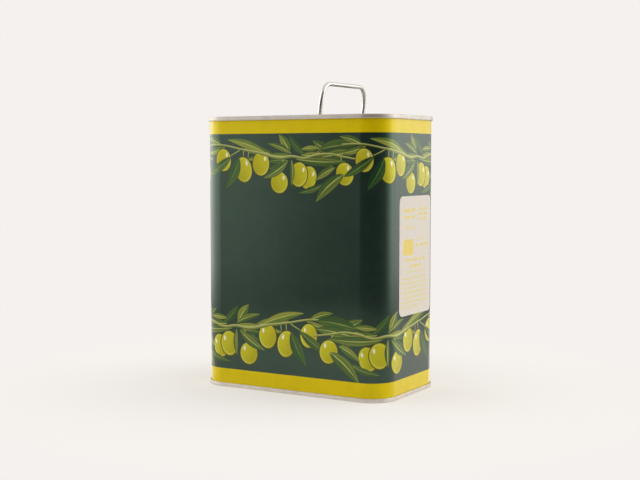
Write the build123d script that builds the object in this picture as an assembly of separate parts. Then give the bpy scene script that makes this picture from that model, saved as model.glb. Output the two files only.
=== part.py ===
"""Rectangular oil tin with a wire bail and a pull-out pouring spout, millimetres, +Z up.

The origin is the middle of the base. +X runs along the wide front, which faces -Y.
"""
from build123d import *
import os

os.makedirs("parts", exist_ok=True)

# The tin as a whole
body_length = 165.0
body_depth = 96.0
tin_height = 214.0
corner_radius = 20.3
body_plate = 0.28
end_plate = 0.30

# The double seam that joins the body to each end: two hooks folded into each other
seam_gap = 0.07
seam_height = 3.25
body_hook_length = 2.0
end_hook_length = 2.0
fold_radius = 0.30
crown_radius = 0.50
compound_film = 0.05
compound_inner_length = 1.2

# The pressed ends: a channel runs round both panels, and the lower one has a sunk bead as well
countersink_depth = 5.5
channel_depth = 1.0
channel_width = 4.6
channel_radius = 0.9
step_run = 1.1
panel_margin = 2.0
bead_width = 7.0
bead_rise = 0.9

# The welded side seam, at the middle of the left side
weld_width = 0.8
weld_proud = 0.12

# The wire bail, drawn in its own plane from the hinge line up
wire_diameter = 3.3
bail_x = 19.6
bail_lean = 7.4
bail_reach = 28.2
bail_waist_reach = 14.0
bail_foot_inner = 20.5
bail_ankle_half_width = 33.4
bail_waist_half_width = 34.3
bail_shoulder_half_width = 31.4
ankle_radius = 4.2
waist_radius = 30.0
shoulder_radius = 10.0
wire_clearance = 0.08
wire_end_round = 0.4

# The pressed ears that hold the bail's feet down on the top
ear_plate = 0.6
ear_width = 7.4
ear_foot_overrun = 0.6
ear_wing_length = 8.0
ear_fold_radius = 0.8
ear_arch_flat = 0.2
ear_corner_radius = 1.6

# The plastic collar snapped into the hole of the top
spout_from_end = 40.5
spout_x = spout_from_end - body_length / 2
hole_lip_depth = 2.0
hole_lip_radius = 0.6
hole_lip_land = 2.5
gasket_thickness = 0.6
collar_flange_overlap = 4.3
collar_flange_thickness = 1.3
flange_round = 0.5
sleeve_clearance = 0.3
sleeve_wall = 1.0
snap_depth = 0.6
snap_taper = 1.4
snap_gap = 0.1
cup_floor_thickness = 1.2
guide_wall = 1.2
guide_lip_height = 3.0
guide_below_nozzle = 1.2
running_gap = 0.1

# The nozzle that slides in the collar
nozzle_outer_radius = 10.5
nozzle_wall = 1.2
spout_travel = 26.0
stop_flange_width = 1.0
stop_flange_height = 1.2
travel_reserve = 0.3
seat_flange_clearance = 1.3
seat_flange_height = 1.0
bead_reach = 1.2
bead_height = 0.6
lip_round = 0.4

# The screw cap, its liner and the security band left behind on the nozzle
rim_to_tabs = 0.3
cap_height = 5.8
cap_plate = 1.2
cap_wall = 1.7
cap_side_clearance = 0.75
cap_round = 0.4
cap_edge_width = 0.8
cap_edge_height = 0.7
cap_notch_width = 9.0
cap_rib_count = 36
cap_rib_height = 0.45
cap_rib_width = 0.8
thread_clearance = 1.5
liner_thickness = 1.0
liner_clearance = 0.4
band_height = 1.2
band_gap = 0.1
band_clearance = 0.6

# The two pull tabs that lie in the cap's top and fold up from its middle rib
tab_thickness = 1.2
tab_gap = 0.1
tab_ring_width = 4.2
tab_side_clearance = 0.35
hinge_rib_width = 1.8
hinge_rib_gap = 0.1
nail_lip_width = 7.0
nail_lip_length = 0.7
nail_lip_round = 0.5

# The paper label stuck on the right side, a little towards the rear
label_width = 54.4
label_height = 90.8
label_middle_height = 107.4
label_shift = 4.9
label_corner_radius = 5.0
label_thickness = 0.1

# How far a cut or a joined piece runs past what it meets
overrun = 1.0

# Places worked out from the sizes above
wire_radius = wire_diameter / 2
half_length = body_length / 2
half_depth = body_depth / 2
panel_top = tin_height - countersink_depth
panel_middle = panel_top - end_plate / 2

# Distances from the body's outer face to the middle of each layer of the seam
wall_offset = -body_plate / 2
chuck_offset = -body_plate - seam_gap - end_plate / 2
end_hook_offset = seam_gap + end_plate / 2
body_hook_offset = end_hook_offset + end_plate / 2 + seam_gap + body_plate / 2
seaming_offset = body_hook_offset + body_plate / 2 + seam_gap + end_plate / 2
step_offset = chuck_offset - channel_width - step_run
panel_offset = step_offset - panel_margin

# Heights of the seam's folds at the top; the foot's seam is its mirror image
end_crown = tin_height - end_plate / 2
body_crown = tin_height - end_plate - seam_gap - body_plate / 2
compound_crown = tin_height - end_plate - seam_gap / 2
body_hook_end = body_crown + body_plate / 2 - body_hook_length
seam_foot = tin_height - seam_height + end_plate / 2
end_hook_end = tin_height - seam_height + end_hook_length

# The bail's hinge line and the tunnel of its ears
hinge_height = panel_top + wire_clearance + wire_radius
ear_bore = wire_radius + wire_clearance
ear_start = bail_foot_inner + ear_foot_overrun
ear_wing_end = ear_bore + ear_plate + ear_wing_length

# The closure's heights, from the tabs down to the foot of the guide tube
tab_top = tin_height - rim_to_tabs
cap_top = tab_top - tab_thickness - tab_gap
cap_ceiling = cap_top - cap_plate
cap_foot = cap_top - cap_height
nozzle_top = cap_ceiling - liner_thickness
band_top = cap_foot - band_gap
band_foot = band_top - band_height
cup_floor = band_foot - band_gap - seat_flange_height
guide_lip_foot = cup_floor - guide_lip_height
nozzle_foot = guide_lip_foot - travel_reserve - spout_travel - stop_flange_height
guide_foot = nozzle_foot - guide_below_nozzle
flange_foot = panel_top + gasket_thickness
flange_top = flange_foot + collar_flange_thickness
snap_top = panel_top - hole_lip_depth - snap_gap

# The closure's radii, from the nozzle outwards to the hole that takes the collar
nozzle_bore = nozzle_outer_radius - nozzle_wall
guide_bore = nozzle_outer_radius + running_gap
stop_radius = nozzle_outer_radius + stop_flange_width
guide_tube_bore = stop_radius + running_gap
cap_bore = nozzle_outer_radius + thread_clearance
cap_radius = cap_bore + cap_wall
cap_rib_radius = cap_radius + cap_rib_height
cup_radius = cap_rib_radius + cap_side_clearance
seat_flange_radius = cup_radius - seat_flange_clearance
sleeve_radius = cup_radius + sleeve_wall
hole_radius = sleeve_radius + sleeve_clearance
snap_radius = hole_radius + snap_depth
collar_flange_radius = hole_radius + collar_flange_overlap
tab_radius = cap_radius - cap_edge_width - tab_side_clearance
tab_hole_radius = tab_radius - tab_ring_width
tab_hinge_offset = hinge_rib_width / 2 + hinge_rib_gap


def tin_outline(offset_out):
    """The tin's rounded rectangle, drawn a given distance out from the body's outer face."""
    length = body_length + 2 * offset_out
    depth = body_depth + 2 * offset_out
    return RectangleRounded(length, depth, corner_radius + offset_out)


def bent_sheet(points, radii, thickness):
    """The cut edge of bent sheet, from the corners and bend radii of its middle line."""
    return trace(FilletPolyline(*points, radius=radii), line_width=thickness)


def run_round(section):
    """Carry a section (distance out from the body, height) along the four sides and corners."""
    half_x = half_length - corner_radius
    half_y = half_depth - corner_radius
    sides = [
        (half_x, -half_depth, (0, -1, 0), 2 * half_x, (-half_x, -half_y, 0)),
        (-half_length, -half_y, (-1, 0, 0), 2 * half_y, (-half_x, half_y, 0)),
        (-half_x, half_depth, (0, 1, 0), 2 * half_x, (half_x, half_y, 0)),
        (half_length, half_y, (1, 0, 0), 2 * half_y, (half_x, -half_y, 0)),
    ]
    runs = []
    for start_x, start_y, outward, side_length, pivot in sides:
        along = Vector(outward).cross(Vector(0, 0, 1))
        face = Plane(origin=(start_x, start_y, 0), x_dir=outward, z_dir=along) * section
        runs.append(extrude(face, amount=side_length, dir=along))
        runs.append(revolve(Pos(along * side_length) * face, Axis(pivot, (0, 0, -1)), 90))
    return Part() + runs


def spun(section):
    """Spin a section of (radius, height) about the spout's axis."""
    return Pos(spout_x, 0, 0) * revolve(Plane.XZ * section, Axis.Z, 360)


def ring_edges(shape, radius, height):
    """The round edges of a spun shape that have this radius and lie at this height."""
    rings = shape.edges().filter_by(GeomType.CIRCLE)
    return rings.filter_by(lambda e: abs(e.radius - radius) + abs(e.arc_center.Z - height) < seam_gap)


def at_foot(shape):
    """The mirror image of a piece of the top, at the tin's foot."""
    return mirror(shape, about=Plane.XY.offset(tin_height / 2))


def body_shell():
    """The body: one sheet bent round, butt-welded at the left, with a hook at each end."""
    foot_crown = tin_height - body_crown
    section = bent_sheet(
        [
            (body_hook_offset, body_hook_end),
            (body_hook_offset, body_crown),
            (wall_offset, body_crown),
            (wall_offset, foot_crown),
            (body_hook_offset, foot_crown),
            (body_hook_offset, tin_height - body_hook_end),
        ],
        [fold_radius] * 4,
        body_plate,
    )
    weld_height = tin_height - 2 * (seam_height + seam_gap)
    weld = Box(body_plate + weld_proud, weld_width, weld_height)
    weld_middle = -half_length + (body_plate - weld_proud) / 2
    return run_round(section) + Pos(weld_middle, 0, tin_height / 2) * weld


def end_rim(panel_points, panel_radii):
    """An end's border at the top: what leads in from the panel, the channel, and the seam's hook."""
    channel_middle = panel_middle - channel_depth
    points = panel_points + [
        (step_offset, panel_middle),
        (step_offset + step_run, channel_middle),
        (chuck_offset, channel_middle),
        (chuck_offset, end_crown),
        (seaming_offset, end_crown),
        (seaming_offset, seam_foot),
        (end_hook_offset, seam_foot),
        (end_hook_offset, end_hook_end),
    ]
    radii = panel_radii + [channel_radius] * 3 + [crown_radius] * 2 + [fold_radius] * 2
    return run_round(bent_sheet(points, radii, end_plate))


def end_panel(margin_offset):
    """The flat middle of an end, inside its pressed border."""
    return Pos(0, 0, panel_top) * extrude(tin_outline(margin_offset), amount=-end_plate)


def top_end():
    """The top: a countersunk panel with the spout's hole, its edge turned down inside."""
    lip_middle = hole_radius + end_plate / 2
    land_radius = lip_middle + hole_lip_land
    lip_points = [
        (land_radius, panel_middle),
        (lip_middle, panel_middle),
        (lip_middle, panel_top - hole_lip_depth),
    ]
    lip = spun(bent_sheet(lip_points, [hole_lip_radius], end_plate))
    hole = Pos(spout_x, 0, panel_top) * Cylinder(land_radius, 2 * (end_plate + overrun))
    return end_rim([(panel_offset, panel_middle)], []) + (end_panel(panel_offset) - hole) + lip


def bottom_end():
    """The foot: the same border, and a sunk bead that stiffens the panel."""
    bead_start = step_offset - panel_margin
    bead_middle = panel_middle - bead_rise
    bead_end = bead_start - 2 * step_run - bead_width
    lead = [
        (bead_end - panel_margin, panel_middle),
        (bead_end, panel_middle),
        (bead_end + step_run, bead_middle),
        (bead_start - step_run, bead_middle),
        (bead_start, panel_middle),
    ]
    rim = end_rim(lead, [channel_radius] * 4)
    return at_foot(rim + end_panel(bead_end - panel_margin))


def seam_compound():
    """The rubber film that was lined into the end's curl and seals the seam over the body's fold."""
    outer = body_hook_offset + body_plate / 2 + seam_gap / 2
    inner = -body_plate - seam_gap / 2
    bend = fold_radius + body_plate / 2 + seam_gap / 2
    points = [
        (outer, body_hook_end),
        (outer, compound_crown),
        (inner, compound_crown),
        (inner, compound_crown - compound_inner_length),
    ]
    return run_round(bent_sheet(points, [bend] * 2, compound_film))


def bail_wire():
    """The carrying bail: round wire, its feet turned in, standing up with a slight lean."""
    half = [
        (bail_foot_inner, 0),
        (bail_ankle_half_width, 0),
        (bail_waist_half_width, bail_waist_reach),
        (bail_shoulder_half_width, bail_reach),
    ]
    points = half + [(-across, up) for across, up in reversed(half)]
    bends = [ankle_radius, waist_radius, shoulder_radius]
    upright = Plane(origin=(0, 0, 0), x_dir=(0, 1, 0), z_dir=(1, 0, 0))
    path = upright * FilletPolyline(*points, radius=bends + bends[::-1])
    start = Plane(origin=path @ 0, z_dir=path % 0)
    wire = sweep(start * Circle(wire_radius), path=path)
    ends = wire.edges().filter_by(lambda e: e.center().Z < ear_bore and abs(e.center().Y) < ear_start)
    return Pos(bail_x, 0, hinge_height) * Rot(0, bail_lean, 0) * fillet(ends, wire_end_round)


def bail_ear(side):
    """One ear: a strip pressed over the wire into a tunnel, its two wings spot-welded down."""
    wing_middle = panel_top + ear_plate / 2
    wall_middle = ear_bore + ear_plate / 2
    arch_middle = hinge_height + ear_bore + ear_plate / 2
    half = [(-ear_wing_end, wing_middle), (-wall_middle, wing_middle), (-wall_middle, arch_middle)]
    points = half + [(-across, up) for across, up in reversed(half)]
    arch_radius = wall_middle - ear_arch_flat / 2
    bends = [ear_fold_radius, arch_radius]
    strip = extrude(Plane.XZ * bent_sheet(points, bends + bends[::-1], ear_plate), amount=-ear_width)
    corners = strip.edges().filter_by(Axis.Z).filter_by(lambda e: abs(e.center().X) > ear_wing_end - overrun)
    strip = fillet(corners, ear_corner_radius)
    start = ear_start if side > 0 else -ear_start - ear_width
    return Pos(bail_x, start, 0) * strip


def spout_collar():
    """The collar: flange, snap-in sleeve, the cup that the cap sinks into, and the guide tube."""
    guide_radius = guide_tube_bore + guide_wall
    outline = Polyline(
        (guide_tube_bore, guide_foot),
        (guide_radius, guide_foot),
        (guide_radius, cup_floor - cup_floor_thickness),
        (sleeve_radius, cup_floor - cup_floor_thickness),
        (sleeve_radius, snap_top - snap_taper),
        (snap_radius, snap_top),
        (sleeve_radius, snap_top),
        (sleeve_radius, flange_foot),
        (collar_flange_radius, flange_foot),
        (collar_flange_radius, flange_top),
        (cup_radius, flange_top),
        (cup_radius, cup_floor),
        (guide_bore, cup_floor),
        (guide_bore, guide_lip_foot),
        (guide_tube_bore, guide_lip_foot),
        close=True,
    )
    collar = spun(make_face(outline))
    rounds = ring_edges(collar, collar_flange_radius, flange_top) + ring_edges(collar, cup_radius, flange_top)
    return fillet(rounds, flange_round)


def collar_gasket():
    """The flat ring that seals the collar's flange on the panel."""
    ring = Circle(collar_flange_radius) - Circle(hole_radius)
    return Pos(spout_x, 0, panel_top) * extrude(ring, amount=gasket_thickness)


def spout_nozzle():
    """The nozzle: stop flange at its foot, seat flange on the cup's floor, and a pouring lip."""
    seat_top = cup_floor + seat_flange_height
    bead_foot = band_top + band_gap
    outline = Polyline(
        (nozzle_bore, nozzle_foot),
        (stop_radius, nozzle_foot),
        (stop_radius, nozzle_foot + stop_flange_height),
        (nozzle_outer_radius, nozzle_foot + stop_flange_height),
        (nozzle_outer_radius, cup_floor),
        (seat_flange_radius, cup_floor),
        (seat_flange_radius, seat_top),
        (nozzle_outer_radius, seat_top),
        (nozzle_outer_radius, bead_foot),
        (nozzle_outer_radius + bead_reach, bead_foot),
        (nozzle_outer_radius, bead_foot + bead_height),
        (nozzle_outer_radius, nozzle_top),
        (nozzle_bore, nozzle_top),
        close=True,
    )
    nozzle = spun(make_face(outline))
    return fillet(ring_edges(nozzle, nozzle_outer_radius, nozzle_top), lip_round)


def security_band():
    """The band that tears off the cap at first opening and stays under the nozzle's bead."""
    ring = Circle(cap_radius) - Circle(nozzle_outer_radius + band_clearance)
    return Pos(spout_x, 0, band_foot) * extrude(ring, amount=band_height)


def cap_liner():
    """The soft disc inside the cap that seals on the nozzle's lip."""
    disc = Circle(cap_bore - liner_clearance)
    return Pos(spout_x, 0, nozzle_top) * extrude(disc, amount=liner_thickness)


def cap_shell():
    """The cap: ribbed skirt, top with a raised edge, and the rib that its tabs hinge on."""
    edge_top = cap_top + cap_edge_height
    outline = Polyline(
        (cap_bore, cap_foot),
        (cap_radius, cap_foot),
        (cap_radius, edge_top),
        (cap_radius - cap_edge_width, edge_top),
        (cap_radius - cap_edge_width, cap_top),
        (0, cap_top),
        (0, cap_ceiling),
        (cap_bore, cap_ceiling),
        close=True,
    )
    cap = spun(make_face(outline))
    cap = fillet(ring_edges(cap, cap_radius, edge_top), cap_round)
    rib_height = edge_top - cap_round - cap_foot
    rib = Box(cap_rib_height + overrun, cap_rib_width, rib_height, align=(Align.MAX, Align.CENTER, Align.MIN))
    ribs = [turn * Pos(cap_rib_radius, 0, cap_foot) * rib for turn in PolarLocations(0, cap_rib_count)]
    upward = (Align.CENTER, Align.CENTER, Align.MIN)
    notch = Box(2 * (cap_radius + overrun), cap_notch_width, cap_edge_height, align=upward)
    hinge_length = 2 * (cap_radius - cap_edge_width)
    hinge_rib = Box(hinge_rib_width, hinge_length, tab_top - cap_top, align=upward)
    spot = Pos(spout_x, 0, 0)
    on_top = Pos(spout_x, 0, cap_top)
    return cap + [spot * one for one in ribs] - on_top * notch + on_top * hinge_rib


def pull_tab(side):
    """One pull tab: half a ring with a lip for the nail, hinged along the cap's middle rib."""
    reach = tab_radius + nail_lip_length
    own_half = Pos(tab_hinge_offset + reach / 2, 0) * Rectangle(reach, 2 * reach)
    nail_lip = RectangleRounded(tab_ring_width, nail_lip_width, nail_lip_round)
    outline = Circle(tab_radius) + Pos(reach - tab_ring_width / 2, 0) * nail_lip - Circle(tab_hole_radius)
    tab = extrude(outline & own_half, amount=-tab_thickness)
    turn = 0 if side > 0 else 180
    return Pos(spout_x, 0, tab_top) * Rot(0, 0, turn) * tab


def side_label():
    """The paper label: a rounded sheet that follows the right side and bends over the rear corner."""
    paper = extrude(tin_outline(label_thickness) - tin_outline(0), amount=tin_height)
    face = Plane(origin=(0, label_shift, label_middle_height), x_dir=(0, 1, 0), z_dir=(1, 0, 0))
    outline = RectangleRounded(label_width, label_height, label_corner_radius)
    return paper & extrude(face * outline, amount=body_length)


top_compound = seam_compound()
nodes = {
    "body_shell": body_shell(),
    "top_end": top_end(),
    "bottom_end": bottom_end(),
    "top_seam_compound": top_compound,
    "bottom_seam_compound": at_foot(top_compound),
    "bail_wire": bail_wire(),
    "bail_ear_front": bail_ear(-1),
    "bail_ear_rear": bail_ear(1),
    "spout_collar": spout_collar(),
    "collar_gasket": collar_gasket(),
    "spout_nozzle": spout_nozzle(),
    "security_band": security_band(),
    "cap_liner": cap_liner(),
    "cap_shell": cap_shell(),
    "pull_tab_left": pull_tab(-1),
    "pull_tab_right": pull_tab(1),
    "side_label": side_label(),
}
for name, shape in nodes.items():
    shape.label = name
    export_step(shape, f"parts/{name}.step")
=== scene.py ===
import math
import random

import bmesh
import bpy
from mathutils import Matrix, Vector
from mathutils.geometry import delaunay_2d_cdt


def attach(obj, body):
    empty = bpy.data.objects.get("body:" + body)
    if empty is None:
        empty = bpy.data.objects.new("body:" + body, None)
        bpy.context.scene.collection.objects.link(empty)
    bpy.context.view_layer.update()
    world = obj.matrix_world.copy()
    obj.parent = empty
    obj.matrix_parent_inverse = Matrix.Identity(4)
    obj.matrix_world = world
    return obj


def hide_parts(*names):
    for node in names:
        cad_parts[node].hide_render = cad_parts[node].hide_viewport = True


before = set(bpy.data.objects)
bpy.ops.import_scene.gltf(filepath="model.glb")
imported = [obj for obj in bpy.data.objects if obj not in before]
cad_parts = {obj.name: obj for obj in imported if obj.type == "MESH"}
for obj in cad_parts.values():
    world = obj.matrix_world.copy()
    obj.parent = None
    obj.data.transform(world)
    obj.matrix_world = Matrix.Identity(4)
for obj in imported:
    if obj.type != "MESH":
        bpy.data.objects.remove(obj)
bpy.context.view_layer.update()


# The body is one sheet of tinplate 0.28 mm thick. Its artwork is printed flat by offset lithography,
# varnished and stoved. The sheet is then bent round, welded at the left and seamed to both ends.
# A strip on each side of the weld stays unprinted, because ink would spoil the weld.

MM = 0.001
tin_length = 165.0 * MM
tin_depth = 96.0 * MM
tin_height = 214.0 * MM
corner_radius = 20.3 * MM
plate = 0.28 * MM
sheet_foot = 0.6 * MM
sheet_top = tin_height - 0.6 * MM
bare_margin = 4.2 * MM
wide_bow = 0.24 * MM
narrow_bow = 0.12 * MM
foot_band_top = 14.6 * MM
top_band_foot = 200.4 * MM
joint_reach = 0.004 * MM
side_x = tin_length / 2 - corner_radius
side_y = tin_depth / 2 - corner_radius
corner_run = math.pi / 2 * corner_radius
sheet_length = 4 * (side_x + side_y + corner_run)
front_middle = side_y + corner_run + side_x
right_middle = front_middle + side_x + corner_run + side_y
corner_steps = 18
wide_steps = 12
narrow_steps = 6
height_steps = 10

# The garland: two mirrored rows of olive sprigs, drawn in mm from the sprig's own middle and its stem
upper_stem = 182.0
upper_sprigs = (-134.0, 0.0, 125.6, 246.2, 366.6)
lower_stem = 48.7
lower_sprigs = (-162.0, -44.0, 89.0, 224.0, 357.0)
lower_scale = 1.055
leaf_breadth = 1.12
leaf_stations = 14
leaf_fullness = 0.82
leaf_belly = 0.9
olive_points = 40
olive_ink_margin = 0.5
SHEET, BAND, LEAF, OLIVE, STEM, BARE, INSIDE = range(7)

# Each leaf: base, tip, width, bend towards its left as a share of its length, and lightness of its green
back_leaves = [
    ((-12.0, 1.4), (-45.0, 6.6), 6.4, -0.05, 0.55),
    ((-16.0, 2.6), (-38.0, -1.2), 4.6, 0.05, 0.75),
    ((12.0, 2.0), (36.0, 2.6), 5.6, -0.04, 0.65),
    ((22.0, 2.4), (52.0, 11.6), 5.4, -0.05, 0.5),
    ((18.0, -1.0), (42.0, -8.4), 5.6, 0.04, 0.2),
    ((-2.0, -1.0), (-17.0, -9.0), 4.6, 0.05, 0.1),
    ((-60.0, 9.0), (-80.0, 15.6), 5.2, -0.05, 0.45),
    ((-58.0, 8.4), (-79.0, 3.4), 4.6, 0.05, 0.7),
    ((2.0, 3.5), (-7.5, 17.4), 7.4, -0.05, 0.7),
    ((15.5, 2.3), (1.9, 16.0), 6.0, 0.05, 0.05),
    ((42.6, 3.4), (22.6, 12.6), 8.6, 0.05, 0.25),
    ((28.0, 6.0), (60.0, 9.4), 9.6, 0.03, 0.1),
    ((3.3, 1.6), (-17.5, 2.6), 4.6, 0.04, 0.8),
    ((1.0, -2.4), (-18.5, -3.2), 4.4, -0.04, 0.15),
    ((3.5, 3.0), (-17.6, 10.8), 4.6, -0.05, 0.4),
    ((12.5, 6.2), (28.6, 6.9), 4.2, 0.02, 0.9),
    ((30.0, 0.0), (61.0, 3.6), 7.4, 0.02, 0.3),
]
# Each olive: middle, width, height and lean
olives = [
    ((18.6, -15.2), 14.2, 17.8, 14.0),
    ((10.2, -12.9), 15.4, 19.0, 5.0),
    ((-7.4, -19.1), 15.6, 16.6, 0.0),
    ((-24.2, -4.9), 15.4, 18.6, 0.0),
    ((-40.4, -9.4), 15.4, 20.2, -12.0),
    ((-59.5, -2.0), 14.2, 17.8, -6.0),
    ((50.0, -12.3), 15.0, 17.4, -12.0),
]
# Each twig: its points and its width at the start and at the end
twigs = [
    ([(-44.0, 5.5), (-50.0, 2.6), (-55.5, 0.2)], 1.1, 0.7),
    ([(-40.0, 6.0), (-40.6, 0.0)], 1.0, 0.8),
    ([(-35.4, 5.0), (-36.2, 0.0)], 0.9, 0.7),
    ([(-21.0, 3.4), (-22.4, 2.2)], 1.0, 0.8),
    ([(-3.0, -1.5), (-6.0, -7.0), (-7.0, -11.2)], 1.0, 0.8),
    ([(12.0, -0.5), (11.4, -4.0)], 1.0, 0.8),
    ([(46.0, 0.6), (48.6, -4.6)], 1.0, 0.8),
]
front_leaves = [
    ((-19.0, 3.2), (-55.4, 14.0), 6.2, -0.04, 1.0),
    ((-52.0, 0.8), (-77.0, -14.4), 6.2, 0.04, 0.12),
    ((-44.4, -0.4), (-57.0, -24.0), 8.6, 0.04, 0.0),
    ((7.6, -1.2), (51.0, -2.8), 6.2, -0.03, 0.3),
    ((0.4, -2.6), (-21.6, -15.8), 6.4, 0.05, 0.35),
    ((3.5, -1.6), (3.4, -21.4), 3.8, 0.05, 0.45),
    ((41.6, -7.4), (24.4, -17.4), 5.4, -0.04, 0.6),
    ((33.0, -19.4), (10.0, -26.6), 4.6, 0.05, 0.15),
    ((49.4, -12.4), (25.0, -33.4), 8.8, -0.06, 0.3),
]
branches = [
    ([(-78.0, 9.6), (-61.0, 9.8), (-44.0, 6.6), (-31.0, 4.4), (-19.0, 2.6)], 1.2, 2.0),
    ([(-24.0, 3.2), (-8.0, -0.2), (4.0, 0.8), (15.0, -0.6), (25.0, 1.8), (37.0, 2.6), (48.0, 0.6),
      (62.0, -1.6)], 2.6, 1.3),
]


def linear(hex_colour):
    """A colour written as sRGB hex, turned to the linear values that the shaders take."""
    shares = [int(hex_colour[i:i + 2], 16) / 255 for i in (1, 3, 5)]
    return tuple(c / 12.92 if c <= 0.04045 else ((c + 0.055) / 1.055) ** 2.4 for c in shares) + (1.0,)


def add(tree, kind, inputs=None, **settings):
    """Add a node: settings are its own properties, inputs are values or other nodes' outputs."""
    made = tree.nodes.new(kind)
    for name, value in settings.items():
        setattr(made, name, value)
    for name, value in (inputs or {}).items():
        if isinstance(value, bpy.types.NodeSocket):
            tree.links.new(value, made.inputs[name])
        else:
            made.inputs[name].default_value = value
    return made


def new_material(name):
    """An empty node material with its output, as (material, tree, output)."""
    material = bpy.data.materials.new(name)
    material.use_nodes = True
    material.node_tree.nodes.clear()
    return material, material.node_tree, add(material.node_tree, "ShaderNodeOutputMaterial")


def out(tree, kind, inputs=None, **settings):
    """The first output of a node that is added in the same way."""
    return add(tree, kind, inputs, **settings).outputs[0]


def principled(tree, output, inputs):
    """The material's one shader, joined to its output."""
    shader = add(tree, "ShaderNodeBsdfPrincipled", inputs)
    tree.links.new(shader.outputs[0], output.inputs[0])


def mixed(tree, share, first, second):
    """The colour that lies between two others by a share, each a socket or sRGB hex."""
    mix = add(tree, "ShaderNodeMix", data_type="RGBA")
    for socket, value in ((mix.inputs[0], share), (mix.inputs[6], first), (mix.inputs[7], second)):
        if isinstance(value, bpy.types.NodeSocket):
            tree.links.new(value, socket)
        else:
            socket.default_value = linear(value) if isinstance(value, str) else value
    return mix.outputs[2]


def maths(tree, operation, *values, clamp=False):
    """The result of one sum on sockets or numbers."""
    return out(tree, "ShaderNodeMath", dict(enumerate(values)), operation=operation, use_clamp=clamp)


def times(tree, first, second):
    """Two sockets or numbers multiplied."""
    return maths(tree, "MULTIPLY", first, second)


def less(tree, first, second):
    """The second socket or number taken from the first."""
    return maths(tree, "SUBTRACT", first, second)


def eased(tree, value, low, high, start=0.0, end=1.0):
    """A value carried smoothly from one range to another, and held at its ends."""
    inputs = {"Value": value, "From Min": low, "From Max": high, "To Min": start, "To Max": end}
    return out(tree, "ShaderNodeMapRange", inputs, interpolation_type="SMOOTHSTEP")


def speckled(tree, size, detail=2.0, place=None):
    """Cloudy noise whose patches are about so many metres across, on the piece's own coordinates."""
    if place is None:
        place = add(tree, "ShaderNodeTexCoord").outputs["Object"]
    inputs = {"Vector": place, "Scale": 1 / size, "Detail": detail}
    return out(tree, "ShaderNodeTexNoise", inputs)


def bumped(tree, height, distance, under=None):
    """A surface direction tilted by a height field, over another direction where one is given."""
    inputs = {"Height": height, "Distance": distance}
    if under is not None:
        inputs["Normal"] = under
    return out(tree, "ShaderNodeBump", inputs)


def axes(tree, place):
    """A place's three numbers, each by itself."""
    return add(tree, "ShaderNodeSeparateXYZ", {0: place}).outputs


# Stoved gloss varnish over lithographic ink: smooth and clear, with a faint orange peel about 1.5 mm
# across, and the slow waviness of thin plate that has been bent.
varnish_ior = 1.5
varnish_roughness = 0.13
peel_size = 1.5 * MM
peel_height = 0.0012 * MM
wave_size = 55 * MM
wave_height = 0.02 * MM
haze_size = 22 * MM


def varnished(name, colour, gloss):
    """Ink under varnish. A function draws its colour, and the bright tin beneath tints its gloss."""
    material, tree, output = new_material(name)
    wave = speckled(tree, wave_size, 1.0)
    waved = bumped(tree, wave, wave_height)
    peel = speckled(tree, peel_size, 1.0)
    haze = speckled(tree, haze_size, 4.0)
    principled(tree, output, {
        "Base Color": colour(tree),
        "Roughness": eased(tree, haze, 0.3, 0.7, varnish_roughness - 0.02, varnish_roughness + 0.03),
        "IOR": varnish_ior,
        "Specular Tint": linear(gloss),
        "Normal": bumped(tree, peel, peel_height, waved),
    })
    return material


ground_green = "#202F29"
ground_green_worn = "#23332C"
ground_gloss = "#D8FFE2"
band_yellow = "#E6CC0A"
band_yellow_thin = "#E0C60D"
band_gloss = "#FFF868"
leaf_dark = "#2C532A"
leaf_light = "#8C933A"
leaf_dark_half = "#234528"
leaf_light_half = "#5C742A"
leaf_stroke = "#A8A04A"
leaf_gloss = "#DCFFB0"
rib_pale = "#C2C46E"
olive_yellow = "#C8C22C"
olive_shade = "#B2A826"
olive_rim = "#D6D660"
olive_glint = "#FBFAE0"
outline_brown = "#3E3C1C"
twig_light = "#BCBC72"
twig_shade = "#6E7434"


def ground_ink(tree):
    """Solid dark green, with the slight mottle of a large printed area."""
    return mixed(tree, eased(tree, speckled(tree, 9 * MM, 5.0), 0.35, 0.7),
                 ground_green, ground_green_worn)


def band_ink(tree):
    """Solid yellow, a little thinner in patches."""
    return mixed(tree, eased(tree, speckled(tree, 12 * MM, 4.0), 0.4, 0.7),
                 band_yellow, band_yellow_thin)


def motif_place(tree):
    """Where a point lies in its own printed motif, as separate numbers."""
    motif = add(tree, "ShaderNodeAttribute", attribute_name="motif")
    return axes(tree, motif.outputs["Vector"])


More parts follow.
